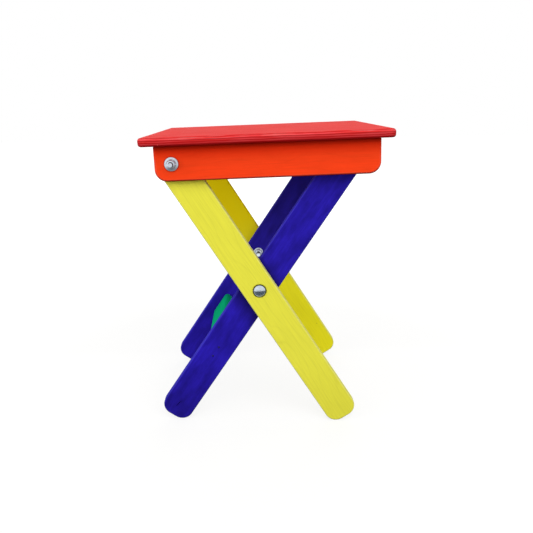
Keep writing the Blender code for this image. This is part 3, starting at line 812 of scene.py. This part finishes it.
def zinc_plate(scene, tumbled):
    """Steel, plated with bright zinc. Small parts are tumbled in the bath, which leaves a pale bloom."""
    # The eye gets a cold silver that mirrors its surroundings softly, or only as a pale glow where it was
    # tumbled, with faint handling marks and dark seams.
    name = "tumbled_zinc_plated_steel" if tumbled else "bright_zinc_plated_steel"
    finish = bpy.data.materials.get(name)
    if finish:
        return finish
    finish, add, shader = new_finish(name)
    colours = scene.stool_colours
    # Dull marks about 2.5 mm across, and the faint waves of the steel under the plating, 4 mm across.
    marks, tone = mottled(add, colours.zinc, 0.82, (2.5 * MM,) * 3)
    waves = drawn_noise(add, add("TexCoord", output="Object"), (4 * MM,) * 3, 1.0)
    # Dirt that wiping leaves in the seams, and painted shade there: the dark seams stand in for the shade
    # round a head, a nut and in the threads.
    soil = add("Attribute", {"attribute_name": "soil"}, "Fac")
    soiled_and_shaded = add("Mix", {"data_type": "RGBA", 0: soil, 6: tone, 7: shade(colours.seam_dirt_and_shade)}, 2)
    low, high = (0.24, 0.36) if tumbled else (0.20, 0.30)
    dullness = add(
        "MapRange", {"Value": marks, "From Min": 0.3, "From Max": 0.7, "To Min": low, "To Max": high}
    )
    duller = add("Mix", {0: soil, 2: dullness, 3: 0.7})
    bump = add("Bump", {"Strength": 0.12, "Distance": 0.0001, "Height": waves})
    metallic = 0.7 if tumbled else 0.94
    set_inputs(shader, {"Base Color": soiled_and_shaded, "Roughness": duller, "Normal": bump, "Metallic": metallic})
    return finish


def bare_beech(scene):
    """Beech dowel, turned and left bare."""
    # The eye gets a pale pinkish wood with short dark flecks along the dowel.
    finish, add, shader = new_finish("bare_turned_beech")
    flecks, tone = mottled(add, scene.stool_colours.beech, 0.6, (0.5 * MM, 0.5 * MM, 4 * MM))
    bump = add("Bump", {"Strength": 0.3, "Distance": 0.0001, "Height": flecks})
    set_inputs(shader, {"Base Color": tone, "Normal": bump, "Roughness": 0.7})
    return finish


def stained_brad(scene):
    """Wire brad, set below the surface and stained over with the leg."""
    # The eye gets a small dark dot with a dull metal glint.
    finish, add, shader = new_finish("stained_over_wire_brad")
    _, tone = mottled(add, scene.stool_colours.brad, 0.5, (0.6 * MM,) * 3)
    set_inputs(shader, {"Base Color": tone, "Roughness": 0.6})
    return finish


# The stool's pieces.


def foot_reach(boards, lean):
    """From the crossing down a leg to the end of its foot, which stands on the floor by a round corner."""
    corner = boards.foot_corner
    corner_drop = (boards.leg_width / 2 - corner) * math.sin(lean) + corner
    return (CROSSING.z - corner_drop) / math.cos(lean) + corner


def leg_outline(boards, lean):
    """A leg about the crossing: round at the top, with two round corners at the foot."""
    half = boards.leg_width / 2
    corner = boards.foot_corner
    top = UP_OUTER_LEG.length + half
    return rounded_outline((-foot_reach(boards, lean), -half), (top, half), (half, corner, corner, half))


class STOOL_OT_seat_board(bpy.types.Operator):
    """Make the seat board, with its plies showing on a rounded edge"""

    bl_idname = "stool.seat_board"
    bl_label = "Seat Board"

    def execute(self, context):
        boards = context.scene.stool_boards
        start = -boards.rail_bolt_in - boards.seat_overhang
        low, high = (corner.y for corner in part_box("seat_board"))
        outline = rounded_outline((start, low), (start + boards.seat_length, high), (boards.seat_corner,) * 4)
        underside = boards.rail_height - boards.rail_bolt_up + boards.seat_gap
        top = underside + boards.seat_thickness
        rows = edge_rows(underside, top, boards.seat_round, boards.seat_ply, boards.ply_relief)
        mesh = board_mesh("seat_board_ply", outline, rows, SEAT_FRAME, grain_from=(0.0, 0.0, underside))
        add_piece(mesh, red_ply(context.scene), "seat_board")
        return {"FINISHED"}


class STOOL_OT_rails(bpy.types.Operator):
    """Make the two rails under the seat"""

    bl_idname = "stool.rails"
    bl_label = "Rails"

    def execute(self, context):
        boards = context.scene.stool_boards
        lower, upper = boards.rail_corner, boards.rail_square_corner
        outline = rounded_outline(
            (-boards.rail_bolt_in, boards.rail_bolt_up - boards.rail_height),
            (boards.rail_length - boards.rail_bolt_in, boards.rail_bolt_up),
            (lower, lower, upper, upper),
        )
        finish = orange_ply(context.scene)
        for name, side in SIDES:
            node = f"{name}_rail"
            _, _, washer_radius = standing(f"{node}_washer", side)
            hole = bolt_hole_rings(context.scene.stool_hardware, *board_faces(node, side), washer_radius)
            start = RAIL_GRAIN * side
            add_board(node, outline, boards.rail_round, RAIL_FRAME, [hole], start, finish)
        return {"FINISHED"}


class STOOL_OT_outer_legs(bpy.types.Operator):
    """Make the two outer legs, with a recess inside for each rail bolt's head"""

    bl_idname = "stool.outer_legs"
    bl_label = "Outer Legs"

    def execute(self, context):
        boards = context.scene.stool_boards
        hardware = context.scene.stool_hardware
        recess, hole = hardware.head_recess, hardware.bolt_hole
        outline = leg_outline(boards, OUTER_LEAN)
        for name, side in SIDES:
            node = f"{name}_outer_leg"
            inside, outside = board_faces(node, side)
            shoulder = inside + side * hardware.head_recess_depth
            stations = [(recess, inside), (recess, shoulder), (hole, shoulder), (hole, outside)]
            holes = [
                bolt_hole_rings(hardware, inside, outside, hardware.head_radius),
                hole_rings((UP_OUTER_LEG.length, 0.0), stations),
            ]
            finish = yellow_ply(context.scene, rich=side > 0)
            start = LEG_GRAIN * side
            add_board(node, outline, boards.leg_round, OUTER_LEG_FRAME, holes, start, finish)
        return {"FINISHED"}


class STOOL_OT_inner_legs(bpy.types.Operator):
    """Make the two inner legs, with sunk brads and a fine split at the front foot"""

    bl_idname = "stool.inner_legs"
    bl_label = "Inner Legs"

    def execute(self, context):
        boards = context.scene.stool_boards
        hardware = context.scene.stool_hardware
        outline = leg_outline(boards, INNER_LEAN)
        for name, side in SIDES:
            node = f"{name}_inner_leg"
            inside, outside = board_faces(node, side)
            holes = [hole_rings((0.0, 0.0), [(hardware.bolt_hole, inside), (hardware.bolt_hole, outside)])]
            bottom = outside - side * hardware.brad_hole_depth
            stations = [(hardware.brad_hole, outside), (hardware.brad_hole, bottom)]
            for middle in (-boards.lower_slat_down, UP_OUTER_LEG.length):
                for step in (-hardware.brad_spacing / 2, hardware.brad_spacing / 2):
                    holes.append(hole_rings((middle + step, 0.0), stations))
            if side < 0:
                holes.append(self.split_rings(boards, outside, outside - side * boards.split_depth))
            finish = blue_ply(context.scene, scuffed=side < 0)
            start = LEG_GRAIN * side
            add_board(node, outline, boards.leg_round, INNER_LEG_FRAME, holes, start, finish)
        return {"FINISHED"}

    def split_rings(self, boards, outside, bottom):
        """The rings of a fine split near the foot, a lens that narrows as it goes deeper."""
        turn = Matrix.Rotation(boards.split_turn, 2)
        half_length, half_width = boards.split_length / 2, boards.split_width / 2
        lens = [turn @ Vector((half_length * point.x, half_width * point.y)) for point in CIRCLE]
        place = (boards.split_up - foot_reach(boards, INNER_LEAN), -boards.split_aside)
        return hole_rings(place, [(1.0, outside), (0.6, (outside + bottom) / 2), (0.25, bottom)], lens)


class STOOL_OT_slats(bpy.types.Operator):
    """Make the two slats between the inner legs"""

    bl_idname = "stool.slats"
    bl_label = "Slats"

    def execute(self, context):
        boards = context.scene.stool_boards
        width, thickness = boards.slat_width / 2, boards.slat_thickness / 2
        for place, middle in (("lower", -boards.lower_slat_down), ("upper", UP_OUTER_LEG.length)):
            node = f"{place}_stretcher"
            low, high = (corner.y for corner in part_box(node))
            rows = edge_rows(low, high, boards.slat_end_round)
            outline = rounded_outline(
                (middle - width, -thickness), (middle + width, thickness), (boards.slat_round,) * 4
            )
            mesh = board_mesh(f"{place}_slat", outline, rows, INNER_LEG_FRAME, grain_axes=(2, 0, 1))
            add_piece(mesh, green_birch(context.scene), node)
        return {"FINISHED"}


def bolt_mesh(name, hardware, node, head_side):
    """A carriage bolt with a dome on one side and a threaded end on the other, in its node's place."""
    place, reach, _ = standing(node, head_side)
    shank = reach - hardware.head_height
    rim = hardware.head_rim
    radius = hardware.head_radius - rim
    dome = hardware.head_height - rim
    sphere = (radius**2 + dome**2) / (2 * dome)
    profile = []
    for i in range(DOME_STEPS + 1):
        angle = math.asin(radius / sphere) * i / DOME_STEPS
        profile.append((sphere * math.sin(angle), reach - sphere * (1 - math.cos(angle))))
    # The rim round the dome is painted dark: dirt, and painted shade where the head meets the wood.
    profile += [
        (radius + 0.15 * rim, shank + rim, 1.0),
        (radius + 0.5 * rim, shank + 0.85 * rim, 1.0),
        (hardware.head_radius, shank + 0.5 * rim, 1.0),
        (hardware.head_radius, shank, 1.0),
        (hardware.bolt_radius, shank),
    ]
    thread, pitch, chamfer = hardware.thread_length, hardware.thread_pitch, hardware.bolt_chamfer
    rows = round(thread / pitch * THREAD_ROWS)
    for i in range(rows + 1):
        height = thread * (1 - i / rows)
        # The thread is painted darker: dirt, and painted shade between its turns.
        soiled_and_shaded = 0.75 if height > chamfer else 0.0
        profile.append((hardware.bolt_radius - max(0.0, chamfer - height), height, soiled_and_shaded))
    profile.append((0.0, 0.0))

    def threaded(r, h, angle):
        if h > thread or r == 0.0:
            return r, h
        turn = ((h - shank) / pitch + angle / (2 * math.pi)) % 1
        run_in = min(1.0, (thread - h) / pitch)
        groove = hardware.thread_depth * run_in * abs(2 * turn - 1)
        return min(r, hardware.bolt_radius - groove), h

    return turned_mesh(name, profile, place, threaded)


def nut_mesh(name, hardware, node, side):
    """A lock nut: a hexagon with turned corners, and a collar rolled in over its locking ring."""
    place, height, _ = standing(node, side)
    hexagon = hardware.nut_hex_height
    flat = hardware.nut_flats / 2
    corner = flat / math.cos(math.pi / 6)
    turned_off = 0.6 * (corner - flat)
    bore = hardware.bolt_radius
    collar = hardware.nut_collar
    rolled = 0.3 * (height - hexagon)
    # The third values paint the seams dark: dirt, and painted shade where the nut meets the washer and in the
    # bore.
    profile = [
        (bore, 0.0),
        (0.96 * flat, 0.0, 0.6),
        (corner, turned_off),
        (corner, hexagon - turned_off),
        (0.99 * flat, hexagon),
        (collar + rolled / 3, hexagon, 0.6),
        (collar, hexagon + rolled / 3),
        (collar, height - 1.2 * rolled),
        (collar - 0.15 * rolled, height - 0.75 * rolled),
        (collar - 0.6 * rolled, height - 0.45 * rolled),
        (bore + 0.6 * rolled, height - 0.05 * rolled),
        (bore + 0.3 * rolled, height),
        (bore + 0.1 * rolled, height - rolled / 3, 0.2),
        (bore, height - 2 * rolled, 0.4),
    ]

    def hexagonal(r, h, angle):
        return min(r, flat / math.cos(angle % (math.pi / 3) - math.pi / 6)), h

    return turned_mesh(name, profile, place, hexagonal, ring=True)


def washer_mesh(name, hardware, node, side):
    """A washer stamped from sheet, with one soft edge, and drawn down round the nut."""
    place, thickness, radius = standing(node, side)
    soft = hardware.washer_round
    shoulder = thickness - hardware.washer_crown
    hole = hardware.bolt_hole
    nut_corner = hardware.nut_flats / 2 / math.cos(math.pi / 6)
    # The ring under the nut's corners is painted darker: dirt, and painted shade where the nut sits on it.
    profile = [
        (hole, 0.0),
        (radius, 0.0),
        (radius, shoulder - soft),
        (radius - 0.3 * soft, shoulder - 0.3 * soft),
        (radius - soft, shoulder),
        (1.02 * nut_corner, thickness),
        (0.97 * nut_corner, thickness, 0.5),
        (hole + soft, thickness, 0.5),
        (hole, thickness - soft),
    ]
    return turned_mesh(name, profile, place, ring=True)


def add_fastening(scene, place, head_faces):
    """The bolts, nuts and washers at one place, on both sides. Heads face out for 1 and in for -1."""
    for name, side in SIDES:
        head = side * head_faces
        makers = [("bolt", bolt_mesh, head), ("nut", nut_mesh, -head), ("washer", washer_mesh, -head)]
        if head_faces > 0:
            makers.append(("spacer", washer_mesh, head))
        for kind, maker, faces in makers:
            node = f"{name}_{place}_{kind}"
            mesh = maker(f"{node}_zinc", scene.stool_hardware, node, faces)
            add_piece(mesh, zinc_plate(scene, kind != "bolt"), node)


class STOOL_OT_bolts(bpy.types.Operator):
    """Make the bolts that the seat swings on and those of the crossing, with their washers and lock nuts"""

    bl_idname = "stool.bolts"
    bl_label = "Bolts"

    def execute(self, context):
        add_fastening(context.scene, "rail", -1)
        add_fastening(context.scene, "pivot", 1)
        return {"FINISHED"}


class STOOL_OT_brads(bpy.types.Operator):
    """Make the brads that hold the slats"""

    bl_idname = "stool.brads"
    bl_label = "Brads"

    def execute(self, context):
        head = context.scene.stool_hardware.brad_head
        shank = context.scene.stool_hardware.brad_shank
        finish = stained_brad(context.scene)
        for (name, side), place, number in product(SIDES, ("lower", "upper"), (1, 2)):
            node = f"{name}_{place}_brad_{number}"
            stand, reach, _ = standing(node, side)
            profile = [
                (0.0, reach),
                (0.6 * head, reach - 0.03 * head),
                (0.9 * head, reach - 0.12 * head),
                (head, reach - 0.3 * head),
                (shank, reach - 0.8 * head),
                (shank, 2 * shank),
                (0.0, 0.0),
            ]
            add_piece(turned_mesh(f"{node}_wire", profile, stand), finish, node)
        return {"FINISHED"}


def reach_from_hinge(node, direction):
    """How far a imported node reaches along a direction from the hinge: its lowest and highest places."""
    places = [(vertex.co - HINGE).dot(direction) for vertex in frame["nodes"][node].data.vertices]
    return min(places), max(places)


def screw_mesh(name, hardware, node):
    """A countersunk screw with a cross recess, driven up into the seat in its node's place."""
    face, tip = reach_from_hinge(node, SEAT_UP)
    along = sum(reach_from_hinge(node, SEAT_ALONG)) / 2
    aside = sum(reach_from_hinge(node, SIDEWAYS)) / 2
    head = hardware.screw_head
    arm = hardware.screw_recess
    profile = [(0.0, 0.0)]
    profile += [(1.1 * arm * i / RECESS_ROWS, 0.0) for i in range(1, RECESS_ROWS + 1)]
    profile += [
        (0.94 * head, 0.0),
        (head, -0.05 * head),
        (head, -0.12 * head),
        (hardware.screw_shank, -hardware.screw_head_height),
        (hardware.screw_shank, face - tip + hardware.screw_tip),
        (0.0, face - tip),
    ]

    def recessed(r, h, angle):
        if h < 0.0 or r > arm:
            return r, h
        off_arm = min(abs(r * math.sin(angle)), abs(r * math.cos(angle)))
        wall = max(0.0, 1 - off_arm / hardware.screw_recess_width)
        return r, -hardware.screw_recess_depth * min(1.0, 2 * wall) * (1 - 0.6 * r / arm)

    return turned_mesh(name, profile, facing(SEAT_FRAME @ Vector((along, aside, face)), -SEAT_UP), recessed)


class STOOL_OT_catch(bpy.types.Operator):
    """Finish the batten under the seat and the dowels of the rails, and make the batten's screws"""

    bl_idname = "stool.catch"
    bl_label = "Batten, Screws and Dowels"

    def execute(self, context):
        scene = context.scene
        beech = bare_beech(scene)
        for node, packed in frame["nodes"].items():
            if "dowel" in node or node == "catch_batten":
                packed.data.materials.clear()
                packed.data.materials.append(beech if "dowel" in node else orange_batten(scene))
            elif "screw" in node:
                mesh = screw_mesh(f"{node}_zinc", scene.stool_hardware, node)
                add_piece(mesh, zinc_plate(scene, tumbled=False), node)
        return {"FINISHED"}


class STOOL_OT_studio(bpy.types.Operator):
    """Set the floor, the light and the camera"""

    bl_idname = "stool.studio"
    bl_label = "Studio"

    def execute(self, context):
        scene = context.scene
        scene.view_settings.view_transform = "Standard"
        self.add_surroundings(scene)
        self.add_floor(scene)
        self.add_floor_cards(scene)
        self.add_white_cards(scene)
        for name, place in SOFTBOXES.items():
            self.add_softbox(scene, f"{name}_softbox", place, getattr(scene.stool_studio, f"{name}_power"))
        self.add_camera(scene, scene.stool_studio)
        return {"FINISHED"}

    def add_sight(self, add):
        """1 on rays that the camera sends, also by way of metal or glass, and 0 on rays that only light."""
        path = add("LightPath").node.outputs
        seen = add("Math", {"operation": "ADD", 0: path["Is Camera Ray"], 1: path["Is Glossy Ray"]})
        return add("Math", {"operation": "ADD", "use_clamp": True, 0: seen, 1: path["Is Transmission Ray"]})

    def add_flats(self, scene, name, quads, material):
        """Flat pieces of the stage, each from its four corners."""
        work = bmesh.new()
        for quad in quads:
            work.faces.new([work.verts.new(corner) for corner in quad])
        mesh = bpy.data.meshes.new(name)
        work.to_mesh(mesh)
        work.free()
        mesh.materials.append(material)
        flats = bpy.data.objects.new(name, mesh)
        scene.collection.objects.link(flats)
        return flats

    def add_cards(self, scene, name, quads, material):
        """Flat cards that show only in reflections."""
        cards = self.add_flats(scene, name, quads, material)
        for kind in ("camera", "diffuse", "shadow", "transmission"):
            setattr(cards, f"visible_{kind}", False)

    def add_surroundings(self, scene):
        world = bpy.data.worlds.new("white_studio")
        world.use_nodes = True
        world.node_tree.nodes.clear()
        add = partial(add_node, world.node_tree)
        light = add("Background", {"Color": WHITE, "Strength": scene.stool_studio.sky_light})
        backdrop = add("Background", {"Color": WHITE, "Strength": 1.0})
        mixed = add("MixShader", {0: self.add_sight(add), 1: light, 2: backdrop})
        add("OutputWorld", {"Surface": mixed})
        scene.world = world

    def add_floor(self, scene):
        paper, add, shader = new_finish("matt_studio_paper")
        # Paper fibre, drawn 6 mm across so that it could show at all.
        _, tone = mottled(add, scene.stool_colours.floor, 0.97, (6 * MM,) * 3)
        set_inputs(shader, {"Base Color": tone, "Roughness": 0.9, "Specular IOR Level": 0.1})
        # Lifts the paper to white where nothing shades it, and only as it is seen or mirrored. The lift grows
        # with the distance from the stool, so that the paper's far edge melts into the white behind it.
        place = add("TexCoord", output="Object")
        away = add("VectorMath", {"operation": "LENGTH", 0: place}, "Value")
        lift = add(
            "MapRange", {"Value": away, "From Min": 0.35, "From Max": 1.3, "To Min": 0.80, "To Max": 1.0}
        )
        seen_lift = add("Math", {"operation": "MULTIPLY", 0: lift, 1: self.add_sight(add)})
        glow = add("Emission", {"Strength": seen_lift})
        lifted = add("AddShader", {0: shader.outputs[0], 1: glow})
        set_inputs(paper.node_tree.nodes["Material Output"], {"Surface": lifted})
        corners = [(FLOOR_HALF * x, FLOOR_HALF * y, 0.0) for x, y in CORNERS]
        floor = self.add_flats(scene, "studio_floor", [corners], paper)
        floor.location.z = CAD_BOX[0].z - FLOOR_DROP

    def add_floor_cards(self, scene):
        """Grey cards on the floor, in front and behind, that give bright metal its depth."""
        felt, add, shader = new_finish("grey_felt_card")
        sideways = add("SeparateXYZ", {0: add("TexCoord", output="Object")}, "Y")
        away = add("Math", {"operation": "ABSOLUTE", 0: sideways})
        # They darken away from the stool.
        start, full = FLOOR_CARD_DARKENING
        dark = add("MapRange", {"Value": away, "From Min": start, "From Max": full})
        near, far = shade(linear("5A6670")), shade(linear("2A3640"))
        tone = add("Mix", {"data_type": "RGBA", 0: dark, 6: near, 7: far}, 2)
        # The far end fades out, so that it leaves no hard line in a mirror.
        start, end = FLOOR_CARD_FADING
        fade = add(
            "MapRange", {"Value": away, "From Min": start, "From Max": end, "To Min": 1.0, "To Max": 0.0}
        )
        set_inputs(shader, {"Base Color": tone, "Alpha": fade, "Roughness": 1.0, "Specular IOR Level": 0.0})
        height = CAD_BOX[0].z + FLOOR_CARD_LIFT
        quads = [[(-side * x, side * y, height) for x, y in FLOOR_CARD_CORNERS] for _, side in SIDES]
        self.add_cards(scene, "grey_floor_cards", quads, felt)

    def add_white_cards(self, scene):
        """White cards that bright metal mirrors, for the domes' highlight and for the nut at the back."""
        paper, add, shader = new_finish("lit_white_card")
        glow = add("Emission", {"Strength": WHITE_CARD_GLOW})
        set_inputs(paper.node_tree.nodes["Material Output"], {"Surface": glow})
        paper.node_tree.nodes.remove(shader)
        quads = []
        for place, direction, width, height in WHITE_CARDS:
            turn = facing(place, direction)
            quads.append([turn @ Vector((width * x, height * y, 0.0)) for x, y in CORNERS])
        self.add_cards(scene, "white_cards", quads, paper)

    def add_softbox(self, scene, name, place, watts):
        lamp = bpy.data.lights.new(name, "AREA")
        lamp.shape = "RECTANGLE"
        lamp.size = SOFTBOX_WIDTH
        lamp.size_y = SOFTBOX_HEIGHT
        lamp.energy = watts
        softbox = bpy.data.objects.new(name, lamp)
        softbox.location = place
        softbox.rotation_euler = (SOFTBOX_AIM - softbox.location).to_track_quat("-Z", "Y").to_euler()
        softbox.visible_glossy = False
        softbox.visible_camera = False
        scene.collection.objects.link(softbox)

    def add_camera(self, scene, studio):
        lens = bpy.data.cameras.new("photo_camera")
        lens.lens = studio.camera_lens
        lens.sensor_width = SENSOR_WIDTH
        camera = bpy.data.objects.new("photo_camera", lens)
        turn = Matrix.Rotation(-studio.camera_turn, 4, "Z")
        dip = Matrix.Rotation(math.pi / 2 - studio.camera_dip, 4, "X")
        roll = Matrix.Rotation(-studio.camera_roll, 4, "Z")
        place = Matrix.Translation(CROSSING + Vector(studio.camera_from_crossing))
        camera.matrix_world = place @ turn @ dip @ roll
        scene.collection.objects.link(camera)
        scene.camera = camera


OPERATORS = (
    STOOL_OT_seat_board,
    STOOL_OT_rails,
    STOOL_OT_outer_legs,
    STOOL_OT_inner_legs,
    STOOL_OT_slats,
    STOOL_OT_bolts,
    STOOL_OT_brads,
    STOOL_OT_catch,
    STOOL_OT_studio,
)
SETTINGS = {
    "stool_boards": StoolBoards,
    "stool_hardware": StoolHardware,
    "stool_colours": StoolColours,
    "stool_studio": StoolStudio,
}


class STOOL_PT_panel(bpy.types.Panel):
    """The stool's pieces and settings"""

    bl_idname = "STOOL_PT_panel"
    bl_label = "Folding Stool"
    bl_space_type = "VIEW_3D"
    bl_region_type = "UI"
    bl_category = "Stool"

    def draw(self, context):
        for operator in OPERATORS:
            self.layout.operator(operator.bl_idname)
        for name in SETTINGS:
            group = getattr(context.scene, name)
            box = self.layout.box()
            for key in group.bl_rna.properties.keys():
                if key not in ("rna_type", "name"):
                    box.prop(group, key)


def register():
    for group in SETTINGS.values():
        bpy.utils.register_class(group)
    for name, group in SETTINGS.items():
        setattr(bpy.types.Scene, name, PointerProperty(type=group))
    for operator in OPERATORS:
        bpy.utils.register_class(operator)
    bpy.utils.register_class(STOOL_PT_panel)


def unregister():
    bpy.utils.unregister_class(STOOL_PT_panel)
    for operator in reversed(OPERATORS):
        bpy.utils.unregister_class(operator)
    for name, group in reversed(SETTINGS.items()):
        delattr(bpy.types.Scene, name)
        bpy.utils.unregister_class(group)


def main():
    register()
    bpy.ops.stool.seat_board()
    bpy.ops.stool.rails()
    bpy.ops.stool.outer_legs()
    bpy.ops.stool.inner_legs()
    bpy.ops.stool.slats()
    bpy.ops.stool.bolts()
    bpy.ops.stool.brads()
    bpy.ops.stool.catch()
    bpy.ops.stool.studio()


if __name__ == "__main__":
    main()
